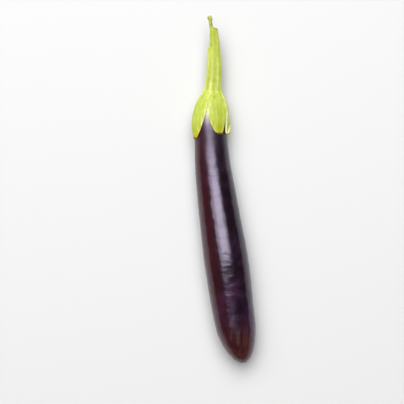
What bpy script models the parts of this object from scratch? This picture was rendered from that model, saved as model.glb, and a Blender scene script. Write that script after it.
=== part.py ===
"""A long slender eggplant, picked with its green calyx and cut stem, lying on its side.

Three solids: the fruit, the calyx over its shoulder, and the stem on the calyx's crown.
All three are laid out along one guide line, which runs from the blossom end to the stem's cut end.
A point is given by its station (the distance along +Y from the blossom end), its turn about the
guide line (0 is straight up, 90 degrees is towards +X) and its distance from the line.
Metres, +Z up. The origin is on the flat spot that the fruit lies on, and the stem points to +Y.
"""

import math
from collections import namedtuple

import bmesh
import bpy
from mathutils import Vector

MM = 0.001
GAP = 0.35 * MM
MERGE = 0.01 * MM

# The guide line: (station, sideways place) and (station, height above the surface).
BLOSSOM_END_Y = -104.0 * MM
LINE_SIDEWAYS = [
    (0.0, 17.2 * MM),
    (33 * MM, 10.1 * MM),
    (85 * MM, 2.6 * MM),
    (136 * MM, -5.0 * MM),
    (171 * MM, -9.5 * MM),
    (200 * MM, -11.0 * MM),
    (231 * MM, -9.3 * MM),
    (244 * MM, -8.2 * MM),
    (257 * MM, -7.6 * MM),
    (270 * MM, -7.6 * MM),
    (285 * MM, -8.6 * MM),
]
LINE_HEIGHT = [
    (0.0, 19.8 * MM),
    (40 * MM, 18.3 * MM),
    (85 * MM, 18.45 * MM),
    (119 * MM, 17.25 * MM),
    (153 * MM, 15.9 * MM),
    (200 * MM, 16.6 * MM),
    (231 * MM, 17.6 * MM),
    (257 * MM, 19.0 * MM),
    (285 * MM, 21.6 * MM),
]

# The fruit: its length, the lengths of its two rounded ends, and its radius between them.
FRUIT_LENGTH = 226.6 * MM
BLOSSOM_ROUND = 34 * MM
SHOULDER_ROUND = 18 * MM
SCAR_DEPTH = 0.6 * MM
FRUIT_BELLY = [
    (0.0, 15.2 * MM),
    (25 * MM, 16.9 * MM),
    (50 * MM, 18.1 * MM),
    (85 * MM, 18.85 * MM),
    (119 * MM, 17.65 * MM),
    (153 * MM, 16.0 * MM),
    (179 * MM, 14.3 * MM),
    (200 * MM, 13.4 * MM),
    (226 * MM, 12.9 * MM),
]
FRUIT_SIDES = 36
FRUIT_END_RINGS = 8
FRUIT_BELLY_RINGS = 34

# The fruit isn't truly round. Each swell is (share of the radius, waves round, lag, length of one
# twist), and a slow ripple runs along the skin: (share of the radius, length).
SWELLS = [(0.008, 2, 0.9, 70 * MM), (0.005, 3, -0.4, -45 * MM)]
RIPPLE = (0.004, 11 * MM)

# The calyx: distances are measured down the fruit's shoulder from the top of the fruit.
HOLLOW_DISTANCE = 3.0 * MM
CROWN_DISTANCE = 7.0 * MM
NOTCH_DISTANCE = 19.5 * MM
FULL_REACH = 40 * MM
CALYX_THICKNESS = [
    (7 * MM, 6.0 * MM),
    (8.5 * MM, 4.0 * MM),
    (12.5 * MM, 2.8 * MM),
    (19.5 * MM, 1.9 * MM),
    (26 * MM, 1.6 * MM),
    (33 * MM, 1.2 * MM),
    (FULL_REACH, 0.9 * MM),
]
EDGE_THINNING = 0.35
EDGE_DROOP = 0.5
RIB = 0.28 * MM
RIB_SHARPNESS = 0.45
CROWN_LIFT = 0.8 * MM
SKIN_STEP = 0.8 * MM
SHOULDER_LINE_LENGTH = 60 * MM
SHOULDER_STEPS = 400
COLUMNS_PER_LOBE = 8
CROWN_ROWS = 8
LOBE_ROWS = 16

# A lobe runs from the notch before it to the turn "until", in degrees. It reaches "reach" from the
# top of the fruit. Its width falls by the powers "taper" and "fullness": a low taper gives a blunt
# tip, and a high fullness keeps it wide for longer. It leans "lean" degrees and arches "stand" off
# the skin. Its last "curl" of length turns away through "curl_turn" round the radius "bend".
Lobe = namedtuple("Lobe", "centre until reach taper fullness lean stand curl curl_turn bend")
FIRST_NOTCH = -115
LOBES = [
    Lobe(-72, -17, 43.6 * MM, 0.60, 1.5, 4, 1.3 * MM, 3.0 * MM, 12, 10 * MM),
    Lobe(33, 61, 39.4 * MM, 0.45, 0.85, 1, 0.6 * MM, 5.0 * MM, 22, 10 * MM),
    Lobe(88, 128, 52.0 * MM, 0.70, 2.0, -18, 0.1 * MM, 14.0 * MM, 168, 1.8 * MM),
    Lobe(157, 186, 40.0 * MM, 0.70, 1.2, 5, 0.3 * MM, 3.5 * MM, 20, 7 * MM),
    Lobe(215, 245, 42.0 * MM, 0.65, 1.1, -4, 0.5 * MM, 4.0 * MM, 25, 8 * MM),
]

# The stem: its radius from the crown of the calyx to the cut end.
STEM_FOOT = 231.6 * MM
STEM_END = 284.6 * MM
STEM_RADIUS = [
    (231 * MM, 7.3 * MM),
    (236 * MM, 6.9 * MM),
    (244 * MM, 6.5 * MM),
    (252 * MM, 6.1 * MM),
    (259 * MM, 5.4 * MM),
    (266 * MM, 4.6 * MM),
    (274 * MM, 4.0 * MM),
    (285 * MM, 3.3 * MM),
]
STEM_RINGS = 24

# The strip of rind along one flank, which stands ever more proud and breaks off below the cut.
STRIP_TURN = -90
STRIP_START = 246 * MM
STRIP_END = 268 * MM
STRIP_PROUD = 2.0 * MM
STRIP_BREAK = 0.9 * MM

# The cut end slants down towards +X. Its rounding is (distance past the end, share of the radius).
CUT_SLANT = 1.3 * MM
CUT_ROUNDING = [(0.55 * MM, 0.93), (0.85 * MM, 0.78)]

# The side stalk's line is (station, distance from the guide line, radius), on the turn given.
STALK_TURN = -75
STALK_LINE = [
    (272 * MM, 1.0 * MM, 1.2 * MM),
    (281 * MM, 1.9 * MM, 1.6 * MM),
    (287.5 * MM, 2.2 * MM, 1.5 * MM),
    (290 * MM, 2.5 * MM, 1.6 * MM),
    (291.6 * MM, 2.6 * MM, 2.1 * MM),
    (293.2 * MM, 2.7 * MM, 1.9 * MM),
    (294.3 * MM, 2.8 * MM, 1.0 * MM),
]
STALK_SIDES = 12

# The surfaces: name, linear colour and roughness.
SKIN = ("dark purple skin", (0.028, 0.008, 0.020), 0.25)
GREEN_LOBES = ("yellow-green calyx", (0.52, 0.66, 0.12), 0.55)
GREEN_STALK = ("pale green stem", (0.50, 0.64, 0.13), 0.60)


def smooth_through(points, at):
    """The value, at one position, of a smooth curve through (position, value) pairs."""
    last = len(points) - 1
    slopes = []
    for i in range(last + 1):
        before, after = points[max(i - 1, 0)], points[min(i + 1, last)]
        slopes.append((after[1] - before[1]) / (after[0] - before[0]))
    if at <= points[0][0]:
        return points[0][1] + slopes[0] * (at - points[0][0])
    if at >= points[last][0]:
        return points[last][1] + slopes[last] * (at - points[last][0])
    i = max(k for k in range(last) if points[k][0] <= at)
    (start, low), (end, high) = points[i], points[i + 1]
    span = end - start
    t = (at - start) / span
    return (
        low * (1 + 2 * t) * (1 - t) ** 2
        + high * t * t * (3 - 2 * t)
        + slopes[i] * span * t * (1 - t) ** 2
        + slopes[i + 1] * span * t * t * (t - 1)
    )


def line_point(station):
    """The guide line's point at a station."""
    return Vector((
        smooth_through(LINE_SIDEWAYS, station),
        BLOSSOM_END_Y + station,
        smooth_through(LINE_HEIGHT, station),
    ))


def place(station, turn, distance):
    """The point that lies off the guide line, in the plane square to the line at that station."""
    step = 0.5 * MM
    along = (line_point(station + step) - line_point(station - step)).normalized()
    right = along.cross(Vector((0, 0, 1))).normalized()
    up = right.cross(along)
    return line_point(station) + distance * (right * math.sin(turn) + up * math.cos(turn))


def fruit_radius(station):
    """The fruit's mean radius: its belly, closed by half an ellipse at each end."""
    blossom = min(max(station / BLOSSOM_ROUND, 0.0), 1.0)
    shoulder = min(max((FRUIT_LENGTH - station) / SHOULDER_ROUND, 0.0), 1.0)
    rounding = math.sqrt(blossom * (2 - blossom) * shoulder * (2 - shoulder))
    return smooth_through(FRUIT_BELLY, station) * rounding


def unevenness(station, turn):
    """The share by which the skin swells or sinks: the fruit isn't truly round."""
    swells = sum(
        share * math.cos(waves * turn + lag + station / twist) for share, waves, lag, twist in SWELLS
    )
    return swells + RIPPLE[0] * math.sin(station / RIPPLE[1] + math.sin(turn))


def principled(name, colour, roughness):
    material = bpy.data.materials.new(name)
    material.use_nodes = True
    shader = material.node_tree.nodes["Principled BSDF"]
    shader.inputs["Base Color"].default_value = (*colour, 1.0)
    shader.inputs["Roughness"].default_value = roughness
    shader.inputs["Metallic"].default_value = 0.0
    return material


def add_object(name, bm, material):
    """Turns a bmesh into a smooth-shaded object with its faces pointing out."""
    bmesh.ops.recalc_face_normals(bm, faces=bm.faces[:])
    mesh = bpy.data.meshes.new(name)
    bm.to_mesh(mesh)
    bm.free()
    mesh.shade_smooth()
    mesh.set_sharp_from_angle(angle=math.radians(40))
    mesh.materials.append(material)
    made = bpy.data.objects.new(name, mesh)
    bpy.context.scene.collection.objects.link(made)
    return made


def fruit_stations():
    """Where the fruit's rings lie: close together on the two ends, even along the belly."""
    quarter = math.pi / 2 / FRUIT_END_RINGS
    ends = [1 - math.cos(quarter * i) for i in range(FRUIT_END_RINGS + 1)]
    belly = FRUIT_LENGTH - SHOULDER_ROUND - BLOSSOM_ROUND
    middle = [
        BLOSSOM_ROUND + belly * i / FRUIT_BELLY_RINGS for i in range(1, FRUIT_BELLY_RINGS)
    ]
    return (
        [BLOSSOM_ROUND * share for share in ends]
        + middle
        + [FRUIT_LENGTH - SHOULDER_ROUND * share for share in reversed(ends)]
    )


def make_fruit(material):
    """Turns the profile about a straight line, bends it onto the guide line, and cuts the flat spot."""
    bm = bmesh.new()
    profile = [bm.verts.new((0, y, fruit_radius(y))) for y in fruit_stations()]
    profile[0].co.y = SCAR_DEPTH
    edges = [bm.edges.new(pair) for pair in zip(profile, profile[1:])]
    bmesh.ops.spin(
        bm,
        geom=profile + edges,
        cent=(0, 0, 0),
        axis=(0, 1, 0),
        angle=2 * math.pi,
        steps=FRUIT_SIDES,
        use_merge=True,
    )
    bmesh.ops.remove_doubles(bm, verts=bm.verts[:], dist=MERGE)
    for vert in bm.verts:
        station, radius = vert.co.y, math.hypot(vert.co.x, vert.co.z)
        turn = math.atan2(vert.co.x, vert.co.z)
        vert.co = place(station, turn, radius * (1 + unevenness(station, turn)))
    cut = bmesh.ops.bisect_plane(
        bm,
        geom=bm.verts[:] + bm.edges[:] + bm.faces[:],
        plane_co=(0, 0, 0),
        plane_no=(0, 0, -1),
        clear_outer=True,
    )
    rim = [edge for edge in cut["geom_cut"] if isinstance(edge, bmesh.types.BMEdge)]
    bmesh.ops.edgeloop_fill(bm, edges=rim)
    return add_object("fruit", bm, material)


def shoulder_line():
    """(distance, station, radius) down the fruit's shoulder from the top of the fruit."""
    line = [(0.0, FRUIT_LENGTH, 0.0)]
    for i in range(1, SHOULDER_STEPS + 1):
        station = FRUIT_LENGTH - SHOULDER_LINE_LENGTH * (i / SHOULDER_STEPS) ** 2
        radius = fruit_radius(station)
        gone, last_station, last_radius = line[-1]
        step = math.hypot(station - last_station, radius - last_radius)
        line.append((gone + step, station, radius))
    return line


SHOULDER = shoulder_line()


def on_shoulder(distance):
    """The (station, radius) on the fruit's skin at that distance from the top of the fruit."""
    i = next(k for k in range(1, len(SHOULDER)) if SHOULDER[k][0] >= distance)
    before, after = SHOULDER[i - 1], SHOULDER[i]
    t = (distance - before[0]) / (after[0] - before[0])
    return before[1] + (after[1] - before[1]) * t, before[2] + (after[2] - before[2]) * t


def lobe_line(lobe, distance):
    """A point under the middle of a lobe, as (station, radius), and the way out from there.

    The line follows the skin, then leaves it round an arc and runs on straight from the arc's end."""
    on_skin = min(distance, lobe.reach - lobe.curl)
    near, far = on_shoulder(max(on_skin - SKIN_STEP, 0.0)), on_shoulder(on_skin + SKIN_STEP)
    down = Vector((far[0] - near[0], far[1] - near[1])).normalized()
    out = Vector((down.y, -down.x))
    turned = min((distance - on_skin) / lobe.bend, math.radians(lobe.curl_turn))
    straight = distance - on_skin - lobe.bend * turned
    heading = down * math.cos(turned) + out * math.sin(turned)
    leaving = lobe.bend * (down * math.sin(turned) + out * (1 - math.cos(turned)))
    point = Vector(on_shoulder(on_skin)) + leaving + heading * straight
    return point, out * math.cos(turned) - down * math.sin(turned)


def lobe_turn(index, across, share):
    """The turn about the guide line at a place across a lobe, where it is "share" down to its tip."""
    lobe = LOBES[index]
    since = LOBES[index - 1].until if index else FIRST_NOTCH
    half = lobe.until - lobe.centre if across > 0 else lobe.centre - since
    width = (1 - share**lobe.fullness) ** lobe.taper
    return math.radians(lobe.centre + half * width * across + lobe.lean * share**2)


def rib(across):
    """The height of the rib that runs down the stem and the middle of a lobe, with hollows beside it."""
    return RIB * (math.cos(math.pi * across) + RIB_SHARPNESS * math.cos(2 * math.pi * across))


def calyx_point(index, across, along, outside):
    """A point on the calyx. Along runs from -1 at the crown, through 0 at the notches, to 1 at a tip."""
    lobe = LOBES[index]
    share = along * (3 - along) / 2 if along > 0 else 0.0
    crown = CROWN_DISTANCE if outside else HOLLOW_DISTANCE
    above = (NOTCH_DISTANCE - crown) * max(-along, 0.0)
    point, out = lobe_line(lobe, NOTCH_DISTANCE - above + (lobe.reach - NOTCH_DISTANCE) * share)
    turn = lobe_turn(index, across, share)
    height = GAP + lobe.stand * math.sin(math.pi * share) * (1 - EDGE_DROOP * across**2)
    if outside:
        level = NOTCH_DISTANCE - above + (FULL_REACH - NOTCH_DISTANCE) * share
        thinning = 1 - EDGE_THINNING * math.sqrt(share) * across**4
        height += smooth_through(CALYX_THICKNESS, level) * thinning
    point = point + out * height
    if outside:
        foot = Vector((STEM_FOOT - GAP, smooth_through(STEM_RADIUS, STEM_FOOT)))
        point = point.lerp(foot, max(-along, 0.0) ** 3)
        point.y += rib(across) * (1 - share)
    return place(point.x, turn, point.y * (1 + unevenness(point.x, turn)))


def open_loops(bm):
    """The closed loops of open edges, each as a list of edges."""
    left = {edge for edge in bm.edges if edge.is_boundary}
    loops = []
    while left:
        loop, front = [], [left.pop()]
        while front:
            edge = front.pop()
            loop.append(edge)
            near = {other for vert in edge.verts for other in vert.link_edges} & left
            left -= near
            front.extend(near)
        loops.append(loop)
    return loops


def mean_y(edges):
    return sum(vert.co.y for edge in edges for vert in edge.verts) / (2 * len(edges))


def make_calyx(material):
    """Lays a grid down each lobe, joins the lobes above the notches, and closes the outer sheet
    to an inner one that follows the skin."""
    bm = bmesh.new()
    lobe_of = bm.verts.layers.int.new("lobe")
    across_of = bm.verts.layers.float.new("across")
    along_of = bm.verts.layers.float.new("along")
    for index in range(len(LOBES)):
        rows = CROWN_ROWS + LOBE_ROWS
        grid = bmesh.ops.create_grid(bm, x_segments=COLUMNS_PER_LOBE, y_segments=rows, size=1.0)
        for vert in grid["verts"]:
            below_notch = (vert.co.y + 1) / 2 * rows - CROWN_ROWS
            along = below_notch / (LOBE_ROWS if below_notch > 0 else CROWN_ROWS)
            vert[lobe_of], vert[across_of], vert[along_of] = index, vert.co.x, along
            vert.co = calyx_point(index, vert.co.x, along, outside=True)
    bmesh.ops.remove_doubles(bm, verts=bm.verts[:], dist=MERGE)
    copied = bmesh.ops.duplicate(bm, geom=bm.verts[:] + bm.edges[:] + bm.faces[:])
    for vert in copied["geom"]:
        if isinstance(vert, bmesh.types.BMVert):
            vert.co = calyx_point(vert[lobe_of], vert[across_of], vert[along_of], outside=False)
    loops = sorted(open_loops(bm), key=mean_y)
    bmesh.ops.bridge_loops(bm, edges=loops[0] + loops[1])
    crown_inside, crown_top = loops[2], loops[3]
    bmesh.ops.edgeloop_fill(bm, edges=crown_top)
    hollow = bmesh.ops.edgeloop_fill(bm, edges=crown_inside)["faces"]
    peak = bmesh.ops.poke(bm, faces=hollow)["verts"][0]
    peak.co = place(FRUIT_LENGTH + CROWN_LIFT, 0.0, 0.0)
    return add_object("calyx", bm, material)


def add_tube(bm, rings):
    """A closed tube through rings of points, each ring extruded from the one before."""
    ring = bmesh.ops.create_circle(bm, segments=len(rings[0]), radius=1.0)["verts"]
    for vert, point in zip(ring, rings[0]):
        vert.co = point
    edges = [bm.edges.get((a, b)) for a, b in zip(ring, ring[1:] + ring[:1])]
    bmesh.ops.edgeloop_fill(bm, edges=edges)
    for points in rings[1:]:
        grown = bmesh.ops.extrude_edge_only(bm, edges=edges)["geom"]
        moved = [vert for vert in grown if isinstance(vert, bmesh.types.BMVert)]
        by_old = {}
        for vert in moved:
            for edge in vert.link_edges:
                other = edge.other_vert(vert)
                if other in ring:
                    by_old[other] = vert
        ring = [by_old[old] for old in ring]
        for vert, point in zip(ring, points):
            vert.co = point
        edges = [bm.edges.get((a, b)) for a, b in zip(ring, ring[1:] + ring[:1])]
    bmesh.ops.edgeloop_fill(bm, edges=edges)


def stem_ring(station, shrink, slant):
    """One ribbed ring of the stem, whose ribs run on down the middles of the lobes."""
    points = []
    proud = STRIP_PROUD * max(station - STRIP_START, 0.0) / (STRIP_END - STRIP_START)
    if station > STRIP_END:
        proud = 0.0
    for index in range(len(LOBES)):
        for column in range(COLUMNS_PER_LOBE):
            across = 2 * column / COLUMNS_PER_LOBE - 1
            turn = lobe_turn(index, across, 0.0)
            radius = smooth_through(STEM_RADIUS, station) + rib(across)
            radius += proud * max(math.cos(turn - math.radians(STRIP_TURN)), 0.0) ** 4
            radius *= shrink * (1 + unevenness(station, turn))
            at = station - slant * (1 + math.sin(turn)) / 2
            points.append(place(at, turn, radius))
    return points


def make_stem(material):
    """The ribbed stem with its rounded, slanting cut, and the thin side stalk joined to it."""
    bm = bmesh.new()
    length = STEM_END - STEM_FOOT
    stations = [STEM_FOOT + length * i / STEM_RINGS for i in range(STEM_RINGS + 1)]
    stations = sorted(stations + [STRIP_END, STRIP_END + STRIP_BREAK])
    rings = [stem_ring(at, 1.0, CUT_SLANT * ((at - STEM_FOOT) / length) ** 4) for at in stations]
    for beyond, shrink in CUT_ROUNDING:
        rings.append(stem_ring(STEM_END + beyond, shrink, CUT_SLANT))
    add_tube(bm, rings)
    stem = add_object("stem", bm, material)

    bm = bmesh.new()
    turn = math.radians(STALK_TURN)
    rings = []
    for station, offset, radius in STALK_LINE:
        middle = place(station, turn, offset)
        rings.append([
            middle + place(station, 2 * math.pi * i / STALK_SIDES, radius) - line_point(station)
            for i in range(STALK_SIDES)
        ])
    add_tube(bm, rings)
    stalk = add_object("side_stalk", bm, material)

    union = stem.modifiers.new("side stalk", "BOOLEAN")
    union.operation = "UNION"
    union.object = stalk
    bpy.context.view_layer.objects.active = stem
    bpy.ops.object.modifier_apply(modifier=union.name)
    bpy.data.objects.remove(stalk)
    return stem


def main():
    for old in list(bpy.data.objects):
        bpy.data.objects.remove(old)
    make_fruit(principled(*SKIN))
    make_calyx(principled(*GREEN_LOBES))
    make_stem(principled(*GREEN_STALK))


main()
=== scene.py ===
"""A long slender eggplant lying on a pale surface, seen from above.

The fruit, the calyx and the stem each have their own section, in the order in which they grow
together. The floor, the lights and the camera come last. Lengths are in metres.
"""

import functools
import math
from collections import namedtuple

import bmesh
import bpy
import numpy as np
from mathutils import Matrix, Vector, noise


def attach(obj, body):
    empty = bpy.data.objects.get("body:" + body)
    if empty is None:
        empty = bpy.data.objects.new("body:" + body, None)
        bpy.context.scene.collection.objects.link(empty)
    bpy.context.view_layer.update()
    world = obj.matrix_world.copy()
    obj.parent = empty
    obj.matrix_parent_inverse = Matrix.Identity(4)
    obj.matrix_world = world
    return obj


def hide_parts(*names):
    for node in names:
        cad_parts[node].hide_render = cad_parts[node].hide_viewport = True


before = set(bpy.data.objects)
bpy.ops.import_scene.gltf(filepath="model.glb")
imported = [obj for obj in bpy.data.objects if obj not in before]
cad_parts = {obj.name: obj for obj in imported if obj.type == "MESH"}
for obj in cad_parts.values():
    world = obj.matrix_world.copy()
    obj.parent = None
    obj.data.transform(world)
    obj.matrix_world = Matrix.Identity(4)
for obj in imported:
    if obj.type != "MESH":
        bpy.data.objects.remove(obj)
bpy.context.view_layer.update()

# The fruit: one long berry, about six times as long as it is thick, bent a little to one side.
# It is flesh through and through under a thin, tight skin, closed at the far end by the corky scar
# of the flower. It grows round a guide line, which the calyx and the stem carry on.
MM = 0.001
BLOSSOM_END_Y = -104.0 * MM
LINE_SIDEWAYS = [
    (0.0, 17.2 * MM),
    (33 * MM, 10.1 * MM),
    (85 * MM, 2.6 * MM),
    (136 * MM, -5.0 * MM),
    (171 * MM, -9.5 * MM),
    (200 * MM, -11.0 * MM),
    (231 * MM, -9.3 * MM),
    (244 * MM, -8.2 * MM),
    (257 * MM, -7.6 * MM),
    (270 * MM, -7.6 * MM),
    (285 * MM, -8.6 * MM),
]
LINE_HEIGHT = [
    (0.0, 19.8 * MM),
    (40 * MM, 18.3 * MM),
    (85 * MM, 18.45 * MM),
    (119 * MM, 17.25 * MM),
    (153 * MM, 15.9 * MM),
    (200 * MM, 16.6 * MM),
    (231 * MM, 17.6 * MM),
    (257 * MM, 19.0 * MM),
    (285 * MM, 21.6 * MM),
]
FRUIT_LENGTH = 226.6 * MM
BLOSSOM_ROUND = 34 * MM
SHOULDER_ROUND = 18 * MM
FRUIT_BELLY = [
    (0.0, 15.2 * MM),
    (25 * MM, 16.9 * MM),
    (50 * MM, 18.1 * MM),
    (85 * MM, 18.85 * MM),
    (119 * MM, 17.65 * MM),
    (153 * MM, 16.0 * MM),
    (179 * MM, 14.3 * MM),
    (200 * MM, 13.4 * MM),
    (226 * MM, 12.9 * MM),
]
LINE_STEP = 0.5 * MM
SWELLS = [(0.008, 2, 0.9, 70 * MM), (0.005, 3, -0.4, -45 * MM)]
RIPPLE = (0.004, 11 * MM)
FRUIT_SIDES = 144
FRUIT_END_RINGS = 56
FRUIT_BELLY_RINGS = 200
DENTS = [(0.16 * MM, 1.1, 24 * MM), (0.10 * MM, 3.0, 5 * MM)]
SCAR_RADIUS = 2.7 * MM
SCAR_DIMPLE = 0.85 * MM
SCAR_RIDGE = 0.34 * MM
SCAR_RIDGE_WIDTH = 0.5 * MM
SCAR_STUB = 0.55 * MM
SCAR_STUB_RADIUS = 0.6 * MM
CORK_REACH = 1.28 * SCAR_RADIUS
CORK_FADE = 0.8 * SCAR_RADIUS
DENT_FADE = 8 * MM
FLANK_FADE = 10 * MM
WELD = 0.005 * MM


def limited(value):
    """The value, kept between 0 and 1."""
    return min(max(value, 0.0), 1.0)


def smooth_through(points, at):
    """The value, at one position, of a smooth curve through (position, value) pairs."""
    last = len(points) - 1
    slopes = []
    for i in range(last + 1):
        before, after = points[max(i - 1, 0)], points[min(i + 1, last)]
        slopes.append((after[1] - before[1]) / (after[0] - before[0]))
    if at <= points[0][0]:
        return points[0][1] + slopes[0] * (at - points[0][0])
    if at >= points[last][0]:
        return points[last][1] + slopes[last] * (at - points[last][0])
    i = max(k for k in range(last) if points[k][0] <= at)
    (start, low), (end, high) = points[i], points[i + 1]
    span = end - start
    t = (at - start) / span
    return (
        low * (1 + 2 * t) * (1 - t) ** 2
        + high * t * t * (3 - 2 * t)
        + slopes[i] * span * t * (1 - t) ** 2
        + slopes[i + 1] * span * t * t * (t - 1)
    )


@functools.lru_cache(maxsize=None)
def kept_frame(station):
    """What line_frame gives, worked out once for each station."""
    here, before, after = (
        Vector((
            smooth_through(LINE_SIDEWAYS, at), BLOSSOM_END_Y + at, smooth_through(LINE_HEIGHT, at)
        ))
        for at in (station, station - LINE_STEP, station + LINE_STEP)
    )
    along = (after - before).normalized()
    right = along.cross(Vector((0, 0, 1))).normalized()
    return here, right, right.cross(along)


def line_frame(station):
    """The guide line's point at a station, and the ways right and up from it, square to the line.

    A station is a distance from the blossom end along Y, taken to the nearest 0.1 micrometre."""
    return kept_frame(round(station, 7))


def place(station, turn, distance):
    """The point at a distance off the guide line, at a turn about it from straight up."""
    here, right, up = line_frame(station)
    return here + distance * (right * math.sin(turn) + up * math.cos(turn))


def fruit_radius(station):
    """The fruit's mean radius: its belly, closed by half an ellipse at each end."""
    blossom = limited(station / BLOSSOM_ROUND)
    shoulder = limited((FRUIT_LENGTH - station) / SHOULDER_ROUND)
    rounding = math.sqrt(blossom * (2 - blossom) * shoulder * (2 - shoulder))
    return smooth_through(FRUIT_BELLY, station) * rounding


def unevenness(station, turn):
    """The share by which the skin swells or sinks: the fruit isn't truly round."""
    swells = sum(
        share * math.cos(waves * turn + lag + station / twist)
        for share, waves, lag, twist in SWELLS
    )
    return swells + RIPPLE[0] * math.sin(station / RIPPLE[1] + math.sin(turn))


def dents(station, turn):
    """The shallow dents and long flats that break up the skin's reflections."""
    around = (math.sin(turn), math.cos(turn))
    return sum(
        depth * noise.noise(Vector((turns * around[0], turns * around[1], station / length)))
        for depth, turns, length in DENTS
    )


def scar(radius):
    """The relief of the blossom scar: a dimple in a raised ring, with a dry stub in the middle."""
    inside = max(1 - (radius / SCAR_RADIUS) ** 2, 0.0)
    ring = math.exp(-(((radius - SCAR_RADIUS) / SCAR_RIDGE_WIDTH) ** 2))
    stub = math.exp(-((radius / SCAR_STUB_RADIUS) ** 2))
    return SCAR_DIMPLE * inside**2 - SCAR_RIDGE * ring - SCAR_STUB * stub


def finish_piece(name, bm, material, node):
    """Makes a smooth-shaded object of a bmesh, dresses it, and lets it stand for its solid."""
    mesh = bpy.data.meshes.new(name)
    bm.to_mesh(mesh)
    bm.free()
    mesh.shade_smooth()
    mesh.materials.append(material)
    piece = bpy.data.objects.new(name, mesh)
    bpy.context.scene.collection.objects.link(piece)
    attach(piece, "root")
    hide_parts(node)
    return piece


def linear(code):
    """An sRGB hex colour as linear red, green and blue, with full alpha."""
    shares = [int(code[i:i + 2], 16) / 255 for i in (0, 2, 4)]
    return (*[c / 12.92 if c <= 0.04045 else ((c + 0.055) / 1.055) ** 2.4 for c in shares], 1.0)


def add_node(tree, kind, links=None, stops=None, **settings):
    """Adds a node. Links gives each input a value or another node's output; stops fill a ramp."""
    node = tree.nodes.new(kind)
    for name, value in settings.items():
        setattr(node, name, value)
    for key, value in (links or {}).items():
        if isinstance(value, bpy.types.NodeSocket):
            tree.links.new(value, node.inputs[key])
        else:
            node.inputs[key].default_value = value
    if stops:
        ramp = node.color_ramp.elements
        ramp[0].position, ramp[0].color = stops[0][0], linear(stops[0][1])
        ramp[1].position, ramp[1].color = stops[-1][0], linear(stops[-1][1])
        for position, code in stops[1:-1]:
            ramp.new(position).color = linear(code)
    return node


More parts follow.
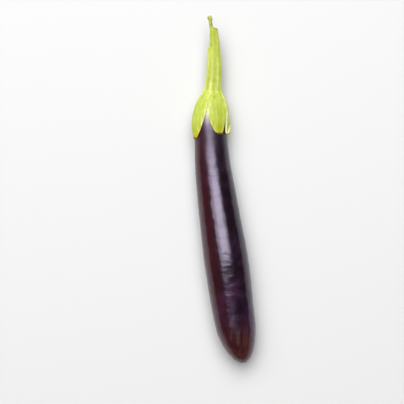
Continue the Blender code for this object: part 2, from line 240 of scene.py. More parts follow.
def skin_material():
    """Eggplant skin: a thin waxy cuticle over cells full of purple colouring.

    The wax gives a clear, tight highlight, which a thin bloom dulls near the calyx. The purple is
    nearly black, redder at the blossom end, and missing from the skin just out of the calyx. On top
    of that, the colour is painted redder and lighter on the flank towards -X, a painted warm
    reflection, and nearly black on the flank towards +X, painted shade."""
    material = bpy.data.materials.new("waxed purple eggplant skin")
    material.use_nodes = True
    tree = material.node_tree
    shader = tree.nodes["Principled BSDF"]
    place_on = add_node(tree, "ShaderNodeTexCoord").outputs["Object"]
    flank = add_node(tree, "ShaderNodeAttribute", attribute_name="flank").outputs["Fac"]
    along = add_node(tree, "ShaderNodeAttribute", attribute_name="along").outputs["Fac"]
    corky = add_node(tree, "ShaderNodeAttribute", attribute_name="corky").outputs["Fac"]

    # Streaks 3 mm apart and 33 mm long run into the blossom end as brown rays, and fray the pale
    # neck. Cloudy patches 14 mm across vary the purple, most of all behind the blossom end.
    # The ramp across the flanks paints a warm reflection onto the -X flank and shade onto the +X
    # flank.
    pigment_with_painted_side_light = add_node(
        tree, "ShaderNodeValToRGB", {0: flank},
        stops=[
            (0.0, "401314"), (0.22, "341014"), (0.42, "220a17"), (0.7, "12050e"), (1.0, "16070e"),
        ],
    ).outputs["Color"]
    brushed = add_node(tree, "ShaderNodeMapping", {"Vector": place_on, "Scale": (320, 30, 320)})
    streaks = add_node(
        tree, "ShaderNodeTexNoise", {"Vector": brushed.outputs[0], "Scale": 1.0, "Detail": 3.0}
    ).outputs[0]
    from_end = add_node(
        tree, "ShaderNodeMath", {0: streaks, 1: -0.20, 2: along}, operation="MULTIPLY_ADD"
    ).outputs[0]
    end = add_node(
        tree, "ShaderNodeMapRange", {0: from_end, 1: 0.08, 2: -0.08},
        interpolation_type="SMOOTHSTEP",
    ).outputs[0]
    rayed = add_node(
        tree, "ShaderNodeValToRGB", {0: streaks},
        stops=[(0.34, "3c1210"), (0.48, "4a1d15"), (0.60, "50291a"), (0.72, "4a3820")],
    ).outputs["Color"]
    browned = add_node(
        tree, "ShaderNodeMix", {0: end, 6: pigment_with_painted_side_light, 7: rayed}, data_type="RGBA"
    ).outputs[2]
    mottle = add_node(
        tree, "ShaderNodeTexNoise",
        {"Vector": place_on, "Scale": 70.0, "Detail": 4.0, "Roughness": 0.6},
    ).outputs[0]
    uneven = add_node(
        tree, "ShaderNodeValToRGB", {0: mottle},
        stops=[(0.3, "b8a4c0"), (0.5, "e8dce4"), (0.7, "ffffff")],
    ).outputs["Color"]
    clouded = add_node(
        tree, "ShaderNodeMix", {0: 1.0, 6: browned, 7: uneven},
        data_type="RGBA", blend_type="MULTIPLY",
    ).outputs[2]
    behind_end = add_node(
        tree, "ShaderNodeValToRGB", {0: along},
        stops=[(0.09, "000000"), (0.17, "ffffff"), (0.22, "ffffff"), (0.36, "000000")],
    ).outputs["Color"]
    off_flank = add_node(
        tree, "ShaderNodeMapRange", {0: flank, 1: 0.12, 2: 0.40, 3: -0.10, 4: 0.0}
    ).outputs[0]
    favoured = add_node(
        tree, "ShaderNodeMath", {0: behind_end, 1: 0.12, 2: off_flank}, operation="MULTIPLY_ADD"
    ).outputs[0]
    patchy = add_node(tree, "ShaderNodeMath", {0: mottle, 1: favoured}, operation="ADD").outputs[0]
    purple = add_node(tree, "ShaderNodeMapRange", {0: patchy, 1: 0.50, 2: 0.75, 4: 0.7}).outputs[0]
    mottled = add_node(
        tree, "ShaderNodeMix", {0: purple, 6: clouded, 7: linear("381a36")}, data_type="RGBA"
    ).outputs[2]
    towards_calyx = add_node(
        tree, "ShaderNodeMath", {0: streaks, 1: 0.05, 2: along}, operation="MULTIPLY_ADD"
    ).outputs[0]
    neck = add_node(
        tree, "ShaderNodeMapRange", {0: towards_calyx, 1: 0.87, 2: 0.925},
        interpolation_type="SMOOTHSTEP",
    ).outputs[0]
    unripe = add_node(
        tree, "ShaderNodeValToRGB", {0: towards_calyx},
        stops=[(0.88, "36203a"), (0.915, "54404e"), (0.94, "907e84"), (0.96, "c4c0ae")],
    ).outputs["Color"]
    paled = add_node(
        tree, "ShaderNodeMix", {0: neck, 6: mottled, 7: unripe}, data_type="RGBA"
    ).outputs[2]

    # The scar is dry cork in flakes 0.7 mm across, tan in the middle and brown at its ragged rim.
    flakes = add_node(
        tree, "ShaderNodeTexNoise",
        {"Vector": place_on, "Scale": 1400.0, "Detail": 4.0, "Roughness": 0.7},
    ).outputs[0]
    flaked = add_node(
        tree, "ShaderNodeMath", {0: flakes, 1: -1.2, 2: corky}, operation="MULTIPLY_ADD"
    ).outputs[0]
    scarred = add_node(tree, "ShaderNodeMapRange", {0: flaked, 1: -0.25, 2: 0.0}).outputs[0]
    cork = add_node(
        tree, "ShaderNodeValToRGB", {0: flaked},
        stops=[(0.0, "3e241b"), (0.25, "5e4230"), (0.4, "846746"), (0.55, "a38a62")],
    ).outputs["Color"]
    corked = add_node(
        tree, "ShaderNodeMix", {0: scarred, 6: paled, 7: cork}, data_type="RGBA"
    ).outputs[2]
    tree.links.new(corked, shader.inputs["Base Color"])

    # The grain of the cuticle, 2 mm apart, runs along the fruit. The faint wrinkles across it are
    # 4 mm apart and 9 mm long, and they break up the edges of the highlight. The pores are drawn
    # 1.1 mm apart, coarser than real ones, so that they show.
    drawn_out = add_node(tree, "ShaderNodeMapping", {"Vector": place_on, "Scale": (520, 90, 520)})
    grain = add_node(
        tree, "ShaderNodeTexNoise",
        {"Vector": drawn_out.outputs[0], "Scale": 1.0, "Detail": 3.0, "Roughness": 0.55},
    ).outputs[0]
    pores = add_node(
        tree, "ShaderNodeTexVoronoi", {"Vector": place_on, "Scale": 900.0}, feature="F1"
    ).outputs["Distance"]
    crossways = add_node(tree, "ShaderNodeMapping", {"Vector": place_on, "Scale": (110, 250, 110)})
    wrinkles = add_node(
        tree, "ShaderNodeTexNoise",
        {"Vector": crossways.outputs[0], "Scale": 1.0, "Detail": 1.0, "Roughness": 0.4},
    ).outputs[0]
    wrinkled = add_node(
        tree, "ShaderNodeBump", {"Strength": 0.6, "Distance": 0.34 * MM, "Height": wrinkles}
    ).outputs[0]
    cuticle = add_node(
        tree, "ShaderNodeBump",
        {"Strength": 0.35, "Distance": 0.06 * MM, "Height": grain, "Normal": wrinkled},
    ).outputs[0]
    pored = add_node(
        tree, "ShaderNodeBump",
        {"Strength": 0.12, "Distance": 0.05 * MM, "Height": pores, "Normal": cuticle},
    ).outputs[0]
    flaky = add_node(
        tree, "ShaderNodeMath", {0: flaked, 1: scarred}, operation="MULTIPLY"
    ).outputs[0]
    cracked = add_node(
        tree, "ShaderNodeBump",
        {"Strength": 0.7, "Distance": 0.3 * MM, "Height": flaky, "Normal": pored},
    ).outputs[0]
    tree.links.new(cracked, shader.inputs["Normal"])
    waxiness = add_node(tree, "ShaderNodeMapRange", {0: grain, 3: 0.15, 4: 0.27}).outputs[0]
    bloom = add_node(
        tree, "ShaderNodeMapRange", {0: along, 1: 0.62, 2: 0.93, 4: 0.24},
        interpolation_type="SMOOTHSTEP",
    ).outputs[0]
    bloomed = add_node(tree, "ShaderNodeMath", {0: waxiness, 1: bloom}, operation="ADD").outputs[0]
    rubbed = add_node(
        tree, "ShaderNodeMath", {0: end, 1: 0.12, 2: bloomed}, operation="MULTIPLY_ADD"
    ).outputs[0]
    dulled = add_node(
        tree, "ShaderNodeMix", {0: scarred, 2: rubbed, 3: 0.85}, data_type="FLOAT"
    ).outputs[0]
    tree.links.new(dulled, shader.inputs["Roughness"])
    shader.inputs["IOR"].default_value = 1.5
    shader.inputs["Specular IOR Level"].default_value = 0.70
    shader.inputs["Specular Tint"].default_value = linear("ebdfff")
    shader.inputs["Coat Weight"].default_value = 0.12
    shader.inputs["Coat Roughness"].default_value = 0.10
    return material


quarter = math.pi / 2 / FRUIT_END_RINGS
rounded = [1 - math.cos(quarter * i) for i in range(FRUIT_END_RINGS + 1)]
belly = FRUIT_LENGTH - SHOULDER_ROUND - BLOSSOM_ROUND
stations = [BLOSSOM_ROUND * share for share in rounded]
stations += [BLOSSOM_ROUND + belly * i / FRUIT_BELLY_RINGS for i in range(1, FRUIT_BELLY_RINGS)]
stations += [FRUIT_LENGTH - SHOULDER_ROUND * share for share in reversed(rounded)]
bm = bmesh.new()
profile = [bm.verts.new((0, y, fruit_radius(y))) for y in stations]
edges = [bm.edges.new(pair) for pair in zip(profile, profile[1:])]
bmesh.ops.spin(
    bm,
    geom=profile + edges,
    cent=(0, 0, 0),
    axis=(0, 1, 0),
    angle=2 * math.pi,
    steps=FRUIT_SIDES,
    use_merge=True,
)
bmesh.ops.remove_doubles(bm, verts=bm.verts[:], dist=WELD)
flank_of = bm.verts.layers.float.new("flank")
along_of = bm.verts.layers.float.new("along")
corky_of = bm.verts.layers.float.new("corky")
for vert in bm.verts:
    station, radius = vert.co.y, math.hypot(vert.co.x, vert.co.z)
    turn = math.atan2(vert.co.x, vert.co.z)
    vert[flank_of] = 0.5 + 0.5 * math.sin(turn) * min(radius / FLANK_FADE, 1.0)
    vert[along_of] = station / FRUIT_LENGTH
    vert[corky_of] = 0.0
    if station < BLOSSOM_ROUND:
        vert[corky_of] = limited((CORK_REACH - radius) / CORK_FADE)
        station += scar(radius)
    fullness = min(radius / DENT_FADE, 1.0)
    radius = radius * (1 + unevenness(station, turn)) + dents(station, turn) * fullness
    vert.co = place(station, turn, radius)
    vert.co.z = max(vert.co.z, 0.0)
bmesh.ops.recalc_face_normals(bm, faces=bm.faces[:])
finish_piece("eggplant_fruit", bm, skin_material(), "fruit")

# The calyx: the fleshy green cup of the flower, which stays on and grows with the fruit.
# It clasps the shoulder, splits into five pointed lobes, and each lobe carries a rib down its
# middle. The lobes' tips are dry and brown, and one of them curls right over.
GAP = 0.35 * MM
HOLLOW_DISTANCE = 3.0 * MM
CROWN_DISTANCE = 7.0 * MM
NOTCH_DISTANCE = 19.5 * MM
FULL_REACH = 40 * MM
CALYX_THICKNESS = [
    (7 * MM, 6.0 * MM),
    (8.5 * MM, 4.0 * MM),
    (12.5 * MM, 2.8 * MM),
    (19.5 * MM, 1.9 * MM),
    (26 * MM, 1.6 * MM),
    (33 * MM, 1.2 * MM),
    (FULL_REACH, 0.9 * MM),
]
EDGE_THINNING = 0.35
EDGE_DROOP = 0.5
RIB = 0.17 * MM
VEIN = 0.16 * MM
VEIN_PLACES = [-0.62, -0.32, 0.32, 0.62]
VEIN_WIDTH = 0.09
VEIN_RISE = 3
WRINKLE = 0.15 * MM
WRINKLES_AROUND = 5
WRINKLES_ALONG = 2.5
EDGE_WAVE = 0.045
EDGE_WAVES = 9
EDGE_WAVE_RISE = 6
FURROW_TONE = 0.14
RIDGE_TONE = 0.36
LOBE_TONE = 0.12
SIDE_TONE = 0.28
VEIN_TONE = 0.14
MARGIN_TONE = 0.28
MARGIN_START = 0.74
MARGIN_WIDTH = 0.2
TIP_TONE = -0.06
CROWN_LIFT = 0.8 * MM
SKIN_STEP = 0.8 * MM
SHOULDER_LINE_LENGTH = 60 * MM
SHOULDER_STEPS = 400
COLUMNS_PER_LOBE = 24
CROWN_ROWS = 14
LOBE_ROWS = 44
STEM_FOOT = 231.6 * MM
CROWN_RADIUS = 7.3 * MM
# A lobe's centre, the notch that it runs until, its lean and its curl_turn are in degrees. Reach is
# how far down it goes, and taper and fullness shape its outline. Stand is how far it lifts off the
# skin halfway down, and over its last stretch, curl, it bends away on a radius, bend.
Lobe = namedtuple("Lobe", "centre until reach taper fullness lean stand curl curl_turn bend")
FIRST_NOTCH = -115
LOBES = [
    Lobe(-72, -17, 43.6 * MM, 0.60, 1.5, 4, 1.3 * MM, 3.0 * MM, 12, 10 * MM),
    Lobe(33, 61, 40.4 * MM, 0.45, 0.85, 1, 0.6 * MM, 5.0 * MM, 22, 10 * MM),
    Lobe(88, 128, 52.0 * MM, 0.70, 2.0, -18, 0.1 * MM, 14.0 * MM, 168, 1.8 * MM),
    Lobe(157, 186, 40.0 * MM, 0.70, 1.2, 5, 0.3 * MM, 3.5 * MM, 20, 7 * MM),
    Lobe(215, 245, 42.0 * MM, 0.65, 1.1, -4, 0.5 * MM, 4.0 * MM, 25, 8 * MM),
]


def shoulder_line():
    """Distances down the fruit's shoulder from its top, with the station and radius at each."""
    shares = (np.arange(SHOULDER_STEPS + 1) / SHOULDER_STEPS) ** 2
    along_it = FRUIT_LENGTH - SHOULDER_LINE_LENGTH * shares
    radii = np.array([fruit_radius(at) for at in along_it])
    steps = np.hypot(np.diff(along_it), np.diff(radii))
    return np.concatenate([[0.0], np.cumsum(steps)]), along_it, radii


SHOULDER = shoulder_line()


def on_shoulder(distance):
    """The (station, radius) on the fruit's skin at that distance from the top of the fruit."""
    return Vector((
        float(np.interp(distance, SHOULDER[0], SHOULDER[1])),
        float(np.interp(distance, SHOULDER[0], SHOULDER[2])),
    ))


def lobe_line(lobe, distance):
    """A point under the middle of a lobe, as (station, radius), and the way out from there.

    The line follows the skin, then leaves it round an arc and runs on straight from there."""
    on_skin = min(distance, lobe.reach - lobe.curl)
    near, far = on_shoulder(max(on_skin - SKIN_STEP, 0.0)), on_shoulder(on_skin + SKIN_STEP)
    down = (far - near).normalized()
    out = Vector((down.y, -down.x))
    turned = min((distance - on_skin) / lobe.bend, math.radians(lobe.curl_turn))
    straight = distance - on_skin - lobe.bend * turned
    heading = down * math.cos(turned) + out * math.sin(turned)
    leaving = lobe.bend * (down * math.sin(turned) + out * (1 - math.cos(turned)))
    point = on_shoulder(on_skin) + leaving + heading * straight
    return point, out * math.cos(turned) - down * math.sin(turned)


def lobe_turn(index, across, share):
    """The turn about the guide line at a place across a lobe, a share of the way to its tip."""
    lobe = LOBES[index]
    since = LOBES[index - 1].until if index else FIRST_NOTCH
    half = lobe.until - lobe.centre if across > 0 else lobe.centre - since
    width = (1 - share**lobe.fullness) ** lobe.taper
    own_edge = (index * 7.3, share * EDGE_WAVES, math.copysign(4.1, across))
    wave = EDGE_WAVE * noise.noise(Vector(own_edge))
    width *= 1 + wave * across**2 * min(share * EDGE_WAVE_RISE, 1.0)
    return math.radians(lobe.centre + half * width * across + lobe.lean * share**2)


def ridge(across):
    """How near a place is to a ridge, from 0 in a furrow to 1. Ridges are broad and furrows narrow.

    The ridges run down the stem to the middles of the lobes and to the notches between them."""
    return abs(math.cos(math.pi * across))


def rib(across):
    """The height of the ribs above the mean surface."""
    return RIB * (2 * ridge(across) - 1)


def crown_tone(across):
    """How pale the tissue is where the stem meets the calyx; its darker furrows are partly painted
    shade.
    """
    return FURROW_TONE + RIDGE_TONE * ridge(across)


def veins(across):
    """How much of a side vein lies at a place across a lobe, from 0 to 1."""
    return max(math.exp(-(((across - at) / VEIN_WIDTH) ** 2)) for at in VEIN_PLACES)


def lobe_tone(across, along):
    """How pale a lobe is at a place: palest along its margins and its veins."""
    margin = limited((abs(across) - MARGIN_START) / MARGIN_WIDTH) if along > 0 else 0.0
    sides = SIDE_TONE * across**2 + VEIN_TONE * veins(across) + MARGIN_TONE * margin
    return LOBE_TONE + sides + TIP_TONE * max(along, 0.0)


def calyx_point(index, across, along, outside):
    """A point on the calyx.

    Along runs from -1 at the crown, through 0 at the notches, to 1 at a lobe's tip."""
    lobe = LOBES[index]
    share = along * (3 - along) / 2 if along > 0 else 0.0
    crown = CROWN_DISTANCE if outside else HOLLOW_DISTANCE
    above = (NOTCH_DISTANCE - crown) * max(-along, 0.0)
    point, out = lobe_line(lobe, NOTCH_DISTANCE - above + (lobe.reach - NOTCH_DISTANCE) * share)
    turn = lobe_turn(index, across, share)
    height = GAP + lobe.stand * math.sin(math.pi * share) * (1 - EDGE_DROOP * across**2)
    if outside:
        level = NOTCH_DISTANCE - above + (FULL_REACH - NOTCH_DISTANCE) * share
        thinning = 1 - EDGE_THINNING * math.sqrt(share) * across**4
        height += smooth_through(CALYX_THICKNESS, level) * thinning
    point = point + out * height
    if outside:
        point = point.lerp(Vector((STEM_FOOT, CROWN_RADIUS)), max(-along, 0.0) ** 3)
        relief = VEIN * veins(across) * (1 - share) * limited(along * VEIN_RISE)
        around = (WRINKLES_AROUND * math.sin(turn), WRINKLES_AROUND * math.cos(turn))
        relief += WRINKLE * noise.noise(Vector((*around, along * WRINKLES_ALONG)))
        point.y += rib(across) * (1 - share) + relief * (1 - max(-along, 0.0) ** 3)
    return place(point.x, turn, point.y * (1 + unevenness(point.x, turn)))


def open_loops(bm):
    """The closed loops of open edges, each as a list of edges, in order along the fruit.

    The edges left are kept in a dict, whose order, unlike a set's, is the same in every run."""
    left = {edge: None for edge in bm.edges if edge.is_boundary}
    loops = []
    while left:
        loop, front = [], [left.popitem()[0]]
        while front:
            edge = front.pop()
            loop.append(edge)
            for other in [other for vert in edge.verts for other in vert.link_edges]:
                if other in left:
                    del left[other]
                    front.append(other)
        loops.append(loop)
    return sorted(loops, key=lambda loop: sum(v.co.y for e in loop for v in e.verts) / len(loop))


def green_tissue(name):
    """A fleshy, satin green material, and its streaked colour and its blotches for more nodes.

    Streaks 1.8 mm apart run lengthwise, fine fibres 0.7 mm apart run between them, and blotches are
    5 mm across. Raised places are paler and furrows a deeper, darker yellow-green; the darkness in
    the furrows is partly painted shade. A little light soaks in, which keeps shaded sides green.
    The calyx and the stem share the pattern, so it runs on from one to the other."""
    material = bpy.data.materials.new(name)
    material.use_nodes = True
    tree = material.node_tree
    shader = tree.nodes["Principled BSDF"]
    place_on = add_node(tree, "ShaderNodeTexCoord").outputs["Object"]
    raised = add_node(tree, "ShaderNodeAttribute", attribute_name="raised").outputs["Fac"]
    blotches = add_node(
        tree, "ShaderNodeTexNoise",
        {"Vector": place_on, "Scale": 210.0, "Detail": 5.0, "Roughness": 0.6},
    ).outputs[0]
    lengthwise = add_node(tree, "ShaderNodeMapping", {"Vector": place_on, "Scale": (560, 50, 560)})
    streaks = add_node(
        tree, "ShaderNodeTexNoise",
        {"Vector": lengthwise.outputs[0], "Scale": 1.0, "Detail": 4.0, "Roughness": 0.65},
    ).outputs[0]
    texture = add_node(
        tree, "ShaderNodeMix", {0: 0.35, 2: streaks, 3: blotches}, data_type="FLOAT"
    ).outputs[0]
    contrast = add_node(tree, "ShaderNodeMapRange", {0: texture, 1: 0.36, 2: 0.64}).outputs[0]
    tone = add_node(
        tree, "ShaderNodeMath", {0: contrast, 1: 0.5, 2: raised}, operation="MULTIPLY_ADD"
    ).outputs[0]
    streaked = add_node(
        tree, "ShaderNodeValToRGB", {0: tone},
        stops=[
            (0.1, "84911a"), (0.38, "a0ab34"), (0.68, "b2bd54"), (0.85, "c4cc78"), (1.0, "d8dcac"),
        ],
    ).outputs["Color"]

    drawn_out = add_node(
        tree, "ShaderNodeMapping", {"Vector": place_on, "Scale": (1400, 200, 1400)}
    )
    fibres = add_node(
        tree, "ShaderNodeTexNoise",
        {"Vector": drawn_out.outputs[0], "Scale": 1.0, "Detail": 3.0, "Roughness": 0.6},
    ).outputs[0]
    furrowed = add_node(
        tree, "ShaderNodeBump", {"Strength": 0.6, "Distance": 0.25 * MM, "Height": streaks}
    ).outputs[0]
    fibrous = add_node(
        tree, "ShaderNodeBump",
        {"Strength": 0.5, "Distance": 0.1 * MM, "Height": fibres, "Normal": furrowed},
    ).outputs[0]
    tree.links.new(fibrous, shader.inputs["Normal"])
    satin = add_node(tree, "ShaderNodeMapRange", {0: blotches, 3: 0.50, 4: 0.68}).outputs[0]
    tree.links.new(satin, shader.inputs["Roughness"])
    shader.inputs["IOR"].default_value = 1.40
    shader.inputs["Diffuse Roughness"].default_value = 0.9
    shader.inputs["Subsurface Weight"].default_value = 0.4
    shader.inputs["Subsurface Radius"].default_value = (1.0, 1.2, 0.3)
    shader.inputs["Subsurface Scale"].default_value = 2.5 * MM
    shader.inputs["Sheen Weight"].default_value = 0.35
    shader.inputs["Sheen Roughness"].default_value = 0.5
    shader.inputs["Sheen Tint"].default_value = linear("dcea90")
    return material, streaked, blotches


def calyx_material():
    """The calyx's green tissue, which yellows down the lobes and dries to brown at their tips.

    The side of a lobe that faced the fruit is a mottled cream, with a trace of the green."""
    material, streaked, blotches = green_tissue("fleshy green eggplant calyx")
    tree = material.node_tree
    down = add_node(tree, "ShaderNodeAttribute", attribute_name="down").outputs["Fac"]
    inner = add_node(tree, "ShaderNodeAttribute", attribute_name="inner").outputs["Fac"]
    ragged = add_node(
        tree, "ShaderNodeMath", {0: blotches, 1: 0.24, 2: down}, operation="MULTIPLY_ADD"
    ).outputs[0]
    drying = add_node(
        tree, "ShaderNodeValToRGB", {0: ragged},
        stops=[
            (0.35, "ffffff"), (0.62, "fffcd0"), (0.82, "fff6a0"), (0.92, "ffe88c"),
            (0.99, "ffcc60"), (1.03, "dc9638"), (1.07, "8e5a26"), (1.11, "4a2e18"),
        ],
    ).outputs["Color"]
    dried = add_node(
        tree, "ShaderNodeMix", {0: 1.0, 6: streaked, 7: drying},
        data_type="RGBA", blend_type="MULTIPLY",
    ).outputs[2]
    cream = add_node(
        tree, "ShaderNodeValToRGB", {0: blotches},
        stops=[(0.36, "c6c184"), (0.5, "dcd6a4"), (0.64, "ece6c4")],
    ).outputs["Color"]
    mostly = add_node(tree, "ShaderNodeMath", {0: inner, 1: 0.85}, operation="MULTIPLY").outputs[0]
    lined = add_node(
        tree, "ShaderNodeMix", {0: mostly, 6: dried, 7: cream}, data_type="RGBA"
    ).outputs[2]
    tree.links.new(lined, tree.nodes["Principled BSDF"].inputs["Base Color"])
    return material


bm = bmesh.new()
lobe_of = bm.verts.layers.int.new("lobe")
across_of = bm.verts.layers.float.new("across")
along_of = bm.verts.layers.float.new("along")
down_of = bm.verts.layers.float.new("down")
raised_of = bm.verts.layers.float.new("raised")
inner_of = bm.verts.layers.float.new("inner")
rows = CROWN_ROWS + LOBE_ROWS
for index in range(len(LOBES)):
    grid = bmesh.ops.create_grid(bm, x_segments=COLUMNS_PER_LOBE, y_segments=rows, size=1.0)
    for vert in grid["verts"]:
        below_notch = (vert.co.y + 1) / 2 * rows - CROWN_ROWS
        along = below_notch / (LOBE_ROWS if below_notch > 0 else CROWN_ROWS)
        across = vert.co.x
        vert[lobe_of], vert[across_of], vert[along_of] = index, across, along
        vert[down_of] = max(along, 0.0)
        crown = max(-along, 0.0)
        vert[raised_of] = lobe_tone(across, along) * (1 - crown) + crown_tone(across) * crown
        vert.co = calyx_point(index, across, along, outside=True)
bmesh.ops.remove_doubles(bm, verts=bm.verts[:], dist=WELD)
copied = bmesh.ops.duplicate(bm, geom=bm.verts[:] + bm.edges[:] + bm.faces[:])
for vert in copied["geom"]:
    if isinstance(vert, bmesh.types.BMVert):
        vert[inner_of] = 1.0
        vert.co = calyx_point(vert[lobe_of], vert[across_of], vert[along_of], outside=False)
loops = open_loops(bm)
bmesh.ops.bridge_loops(bm, edges=loops[0] + loops[1])
crown_inside, crown_top = loops[2], loops[3]
bmesh.ops.edgeloop_fill(bm, edges=crown_top)
hollow = bmesh.ops.edgeloop_fill(bm, edges=crown_inside)["faces"]
peak = bmesh.ops.poke(bm, faces=hollow)["verts"][0]
peak.co = place(FRUIT_LENGTH + CROWN_LIFT, 0.0, 0.0)
bmesh.ops.recalc_face_normals(bm, faces=bm.faces[:])
calyx = finish_piece("eggplant_calyx", bm, calyx_material(), "calyx")
rounding = calyx.modifiers.new("rounded margins", "SUBSURF")
rounding.levels = 1
rounding.render_levels = 1

# The stem: the stout ribbed stalk that the fruit hung from, cut off with a knife.
# The calyx's ribs run on up it. A strip of its rind has torn away below the cut on one flank,
# and the stub of a thin side stalk with a dried knob stands beside the cut.
STEM_END = 284.6 * MM
STEM_RADIUS = [
    (231 * MM, 7.3 * MM),
    (236 * MM, 6.9 * MM),
    (244 * MM, 6.5 * MM),
    (252 * MM, 6.1 * MM),
    (259 * MM, 5.4 * MM),
    (266 * MM, 4.6 * MM),
    (274 * MM, 4.0 * MM),
    (285 * MM, 3.3 * MM),
]
STEM_RINGS = 120
STEM_COLUMNS_PER_RIB = 20
STEM_SINK = 2.3 * MM
FLARE = 1.0 * MM
FLARE_LENGTH = 8 * MM
PALE_FOOT = 14 * MM
STEM_TONE = 0.04
STRIP_TURN = -90
STRIP_START = 246 * MM
STRIP_END = 268 * MM
STRIP_PROUD = 2.0 * MM
TORN_EDGE = 0.8 * MM
TORN_EDGE_WAVES = 6
TORN_STEP = 0.7 * MM
CUT_SLANT = 2.1 * MM
CUT_FACE = [
    (0.40 * MM, 0.965),
    (0.70 * MM, 0.90),
    (0.85 * MM, 0.81),
    (0.80 * MM, 0.70),
    (0.55 * MM, 0.58),
    (0.62 * MM, 0.46),
    (0.35 * MM, 0.30),
    (0.15 * MM, 0.12),
]
DRIED_RIM = 1.2 * MM
STALK_TURN = -75
STALK_FOOT = 276 * MM
STALK_LINE = [
    (272 * MM, 1.0 * MM, 1.2 * MM),
    (281 * MM, 1.9 * MM, 1.6 * MM),
    (287.5 * MM, 2.2 * MM, 1.5 * MM),
    (290 * MM, 2.5 * MM, 1.6 * MM),
    (291.6 * MM, 2.6 * MM, 2.1 * MM),
    (293.2 * MM, 2.7 * MM, 1.9 * MM),
    (294.3 * MM, 2.8 * MM, 1.0 * MM),
]
STALK_SIDES = 28
STALK_RINGS = 40
STALK_RINGS_TO_KNOB = 1.6
KNOB_LUMPS = (0.16, 1.6 * MM)
KNOB_RISE = 4 * MM
STALK_REACH = 1.2
FLUTES = 0.14 * MM
FLUTES_AROUND = 4.5
FLUTE_LENGTH = 22 * MM
FLUTE_RISE = 6 * MM
SLIVER = 0.002 * MM


def add_tube(bm, rings):
    """A closed tube through rings of points, each ring extruded from the one before."""
    ring = bmesh.ops.create_circle(bm, segments=len(rings[0]), radius=1.0)["verts"]
    for vert, point in zip(ring, rings[0]):
        vert.co = point
    edges = [bm.edges.get((a, b)) for a, b in zip(ring, ring[1:] + ring[:1])]
    bmesh.ops.edgeloop_fill(bm, edges=edges)
    for points in rings[1:]:
        old = set(ring)
        grown = bmesh.ops.extrude_edge_only(bm, edges=edges)["geom"]
        moved = [vert for vert in grown if isinstance(vert, bmesh.types.BMVert)]
        grown_from = {
            edge.other_vert(vert): vert
            for vert in moved for edge in vert.link_edges if edge.other_vert(vert) in old
        }
        ring = [grown_from[vert] for vert in ring]
        for vert, point in zip(ring, points):
            vert.co = point
        edges = [bm.edges.get((a, b)) for a, b in zip(ring, ring[1:] + ring[:1])]
    bmesh.ops.edgeloop_fill(bm, edges=edges)


def flare(station):
    """How far the stem's foot widens at a station, so that it runs into the calyx in a fillet."""
    return FLARE * max(1 - (station - STEM_FOOT + STEM_SINK) / FLARE_LENGTH, 0.0) ** 3


def stem_ring(station, shrink, slant):
    """One ribbed ring of the stem, whose ribs run on down the middles of the lobes."""
    points = []
    proud = STRIP_PROUD * max(station - STRIP_START, 0.0) / (STRIP_END - STRIP_START)
    for index in range(len(LOBES)):
        for column in range(STEM_COLUMNS_PER_RIB):
            across = 2 * column / STEM_COLUMNS_PER_RIB - 1
            turn = lobe_turn(index, across, 0.0)
            radius = smooth_through(STEM_RADIUS, station) + flare(station) + rib(across)
            ragged = TORN_EDGE * noise.noise(Vector((turn * TORN_EDGE_WAVES, 0, 3)))
            torn = limited((STRIP_END + ragged - station) / TORN_STEP)
            radius += proud * torn * max(math.cos(turn - math.radians(STRIP_TURN)), 0.0) ** 4
            fade_in = limited((station - STEM_FOOT) / FLUTE_RISE)
            furrow = noise.noise(Vector((turn * FLUTES_AROUND, station / FLUTE_LENGTH, 1)))
            radius += FLUTES * (furrow + 0.5 * math.cos(4 * math.pi * across)) * fade_in
            radius *= shrink * (1 + unevenness(station, turn))
            at = station - slant * (1 + math.sin(turn)) / 2
            points.append(place(at, turn, radius))
    return points


def stem_material():
    """The stalk's green tissue, with corky specks and long brown scuffs in its rind.

    The specks are 0.6 mm across and 2.4 mm apart, and the scuffs are 1.6 mm wide and 22 mm long.
    The cut face and the knob have dried to a mottled olive brown."""
    material, streaked, blotches = green_tissue("green fibrous eggplant stalk")
    tree = material.node_tree
    dry = add_node(tree, "ShaderNodeAttribute", attribute_name="dry").outputs["Fac"]
    place_on = add_node(tree, "ShaderNodeTexCoord").outputs["Object"]
    specks = add_node(
        tree, "ShaderNodeTexVoronoi", {"Vector": place_on, "Scale": 420.0}, feature="F1"
    ).outputs["Distance"]
    speckle = add_node(
        tree, "ShaderNodeMapRange", {0: specks, 1: 0.16, 2: 0.08, 4: 0.45}
    ).outputs[0]
    speckled = add_node(
        tree, "ShaderNodeMix", {0: speckle, 6: streaked, 7: linear("8b933a")}, data_type="RGBA"
    ).outputs[2]
    lengthwise = add_node(tree, "ShaderNodeMapping", {"Vector": place_on, "Scale": (620, 45, 620)})
    scuffs = add_node(
        tree, "ShaderNodeTexNoise", {"Vector": lengthwise.outputs[0], "Scale": 1.0, "Detail": 3.0}
    ).outputs[0]
    scuffed = add_node(tree, "ShaderNodeMapRange", {0: scuffs, 1: 0.56, 2: 0.66, 4: 0.4}).outputs[0]
    barked = add_node(
        tree, "ShaderNodeMix", {0: scuffed, 6: speckled, 7: linear("b09c62")}, data_type="RGBA"
    ).outputs[2]
    mottled = add_node(
        tree, "ShaderNodeValToRGB", {0: blotches},
        stops=[(0.38, "6c6c22"), (0.5, "8f8f38"), (0.62, "b2b25c")],
    ).outputs["Color"]
    dried = add_node(
        tree, "ShaderNodeMix", {0: dry, 6: barked, 7: mottled}, data_type="RGBA"
    ).outputs[2]
    tree.links.new(dried, tree.nodes["Principled BSDF"].inputs["Base Color"])
    return material


def stalk_frame(station):
    """The middle of the side stalk at a station, and its radius there."""
    offset = smooth_through([(at, offset) for at, offset, radius in STALK_LINE], station)
    radius = smooth_through([(at, radius) for at, offset, radius in STALK_LINE], station)
    return place(station, math.radians(STALK_TURN), offset), radius


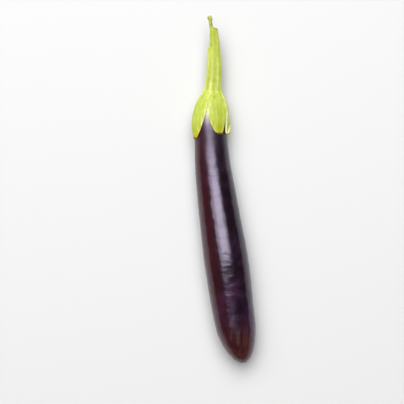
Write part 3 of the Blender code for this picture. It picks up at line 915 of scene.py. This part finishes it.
def mark_stem(mesh):
    """Takes slivers out, and stores how pale each point is, and how dry, at the cut or the knob."""
    bm = bmesh.new()
    bm.from_mesh(mesh)
    bmesh.ops.dissolve_degenerate(bm, dist=SLIVER, edges=bm.edges[:])
    raised_of = bm.verts.layers.float.new("raised")
    dry_of = bm.verts.layers.float.new("dry")
    for vert in bm.verts:
        station = vert.co.y - BLOSSOM_END_Y
        here, right, up = line_frame(station)
        out = vert.co - here
        turn = math.atan2(out.dot(right), out.dot(up))
        mean = smooth_through(STEM_RADIUS, min(station, STEM_END)) + flare(station)
        on_ridge = 0.5 + (out.length - mean * (1 + unevenness(station, turn))) / (2 * RIB)
        near_calyx = limited(1 - (station - STEM_FOOT) / PALE_FOOT)
        # Furrows take a darker tone than ridges, which is partly painted shade in the furrows.
        furrow_tone = STEM_TONE + (FURROW_TONE - STEM_TONE) * near_calyx
        vert[raised_of] = furrow_tone + RIDGE_TONE * limited(on_ridge)
        middle, radius = stalk_frame(station)
        on_stalk = station > STALK_FOOT and (vert.co - middle).length < STALK_REACH * radius
        slant = CUT_SLANT * (1 + math.sin(turn)) / 2
        if on_stalk:
            dryness = (station - STALK_FOOT) / (STALK_LINE[-1][0] - STALK_FOOT)
        else:
            dryness = 1 + (station + slant - STEM_END) / DRIED_RIM
        vert[dry_of] = limited(dryness)
    bm.to_mesh(mesh)
    bm.free()


bm = bmesh.new()
sunk = STEM_FOOT - STEM_SINK
length = STEM_END - sunk
stations = [sunk + length * i / STEM_RINGS for i in range(STEM_RINGS + 1)]
rings = [stem_ring(at, 1.0, CUT_SLANT * ((at - sunk) / length) ** 4) for at in stations]
rings += [stem_ring(STEM_END + beyond, shrink, CUT_SLANT) for beyond, shrink in CUT_FACE]
add_tube(bm, rings)
bmesh.ops.recalc_face_normals(bm, faces=bm.faces[:])
stalk_bm = bmesh.new()
rings = []
for i in range(STALK_RINGS + 1):
    start, end = STALK_LINE[0][0], STALK_LINE[-1][0]
    station = start + (end - start) * (1 - (1 - i / STALK_RINGS) ** STALK_RINGS_TO_KNOB)
    middle, radius = stalk_frame(station)
    here = line_frame(station)[0]
    lumpy = KNOB_LUMPS[0] * limited((station - STEM_END) / KNOB_RISE)
    ring = []
    for k in range(STALK_SIDES):
        turn = 2 * math.pi * k / STALK_SIDES
        lump_at = Vector((math.sin(turn), math.cos(turn), station / KNOB_LUMPS[1]))
        lump = lumpy * noise.noise(lump_at)
        ring.append(middle + place(station, turn, radius * (1 + lump)) - here)
    rings.append(ring)
add_tube(stalk_bm, rings)
bmesh.ops.recalc_face_normals(stalk_bm, faces=stalk_bm.faces[:])
rind = stem_material()
stalk_mesh = bpy.data.meshes.new("side_stalk")
stalk_bm.to_mesh(stalk_mesh)
stalk_bm.free()
stalk_mesh.materials.append(rind)
stalk = bpy.data.objects.new("side_stalk", stalk_mesh)
bpy.context.scene.collection.objects.link(stalk)
stem = finish_piece("eggplant_stem", bm, rind, "stem")
union = stem.modifiers.new("side stalk", "BOOLEAN")
union.operation = "UNION"
union.object = stalk
bpy.context.view_layer.objects.active = stem
bpy.ops.object.modifier_apply(modifier=union.name)
bpy.data.objects.remove(stalk)
mark_stem(stem.data)
stem.data.shade_smooth()

# The floor: a plain sheet of matt white board that the fruit lies on. It is so wide that its far
# edge shows only in nearly level views.
FLOOR_SIZE = 16.0
bm = bmesh.new()
bmesh.ops.create_grid(bm, x_segments=1, y_segments=1, size=FLOOR_SIZE / 2)
floor_mesh = bpy.data.meshes.new("floor")
bm.to_mesh(floor_mesh)
bm.free()
floor = bpy.data.objects.new("floor", floor_mesh)
bpy.context.scene.collection.objects.link(floor)
board = bpy.data.materials.new("matt white board")
board.use_nodes = True
board_shader = board.node_tree.nodes["Principled BSDF"]
board_shader.inputs["Base Color"].default_value = linear("c6c6c6")
board_shader.inputs["Roughness"].default_value = 0.9
board_shader.inputs["Specular IOR Level"].default_value = 0.2
floor_mesh.materials.append(board)

# The light: a wide soft box overhead, a little to the stem's side, with a brighter centre, a dim
# card towards the blossom end, and a faint even surround.
LIGHT_DISTANCE = 2.5
HOT_CENTRE = {"across": 1.50, "along": 2.00, "tilt_x": -4, "tilt_y": 24, "power": 45}
SOFT_BOX = {"across": 2.90, "along": 2.35, "tilt_x": -8, "tilt_y": 23.5, "power": 85}
DIM_CARD = {"across": 1.80, "along": 1.00, "tilt_x": -11, "tilt_y": -15, "power": 1.8}
SURROUND = 0.10


def add_soft_box(name, across, along, tilt_x, tilt_y, power):
    """A white area light that faces the origin, tilted by degrees towards +X and towards +Y."""
    lamp = bpy.data.lights.new(name, "AREA")
    lamp.shape = "RECTANGLE"
    lamp.size, lamp.size_y = across, along
    lamp.energy = power
    light = bpy.data.objects.new(name, lamp)
    way = Vector((math.tan(math.radians(tilt_x)), math.tan(math.radians(tilt_y)), 1)).normalized()
    light.location = way * LIGHT_DISTANCE
    light.rotation_euler = way.to_track_quat("Z", "Y").to_euler()
    bpy.context.scene.collection.objects.link(light)


add_soft_box("hot_centre", **HOT_CENTRE)
add_soft_box("soft_box", **SOFT_BOX)
add_soft_box("dim_card", **DIM_CARD)
world = bpy.data.worlds.new("surround")
world.use_nodes = True
world.node_tree.nodes["Background"].inputs["Color"].default_value = linear("f4f2f6")
world.node_tree.nodes["Background"].inputs["Strength"].default_value = SURROUND
bpy.context.scene.world = world
bpy.context.scene.view_settings.view_transform = "Standard"

# The camera: it looks straight down, with the stem at the top of the picture, and takes in a field
# of 343 mm at the height of the fruit's middle.
FIELD = 343.4 * MM
LENS = 100.0
SENSOR = 36.0
LOOKS_AT = Vector((-18.3 * MM, 32.3 * MM, 19 * MM))
camera_data = bpy.data.cameras.new("camera")
camera_data.lens = LENS
camera_data.sensor_width = SENSOR
camera_data.clip_start = 0.01
camera = bpy.data.objects.new("camera", camera_data)
camera.location = LOOKS_AT + Vector((0, 0, FIELD * LENS / SENSOR))
bpy.context.scene.collection.objects.link(camera)
bpy.context.scene.camera = camera
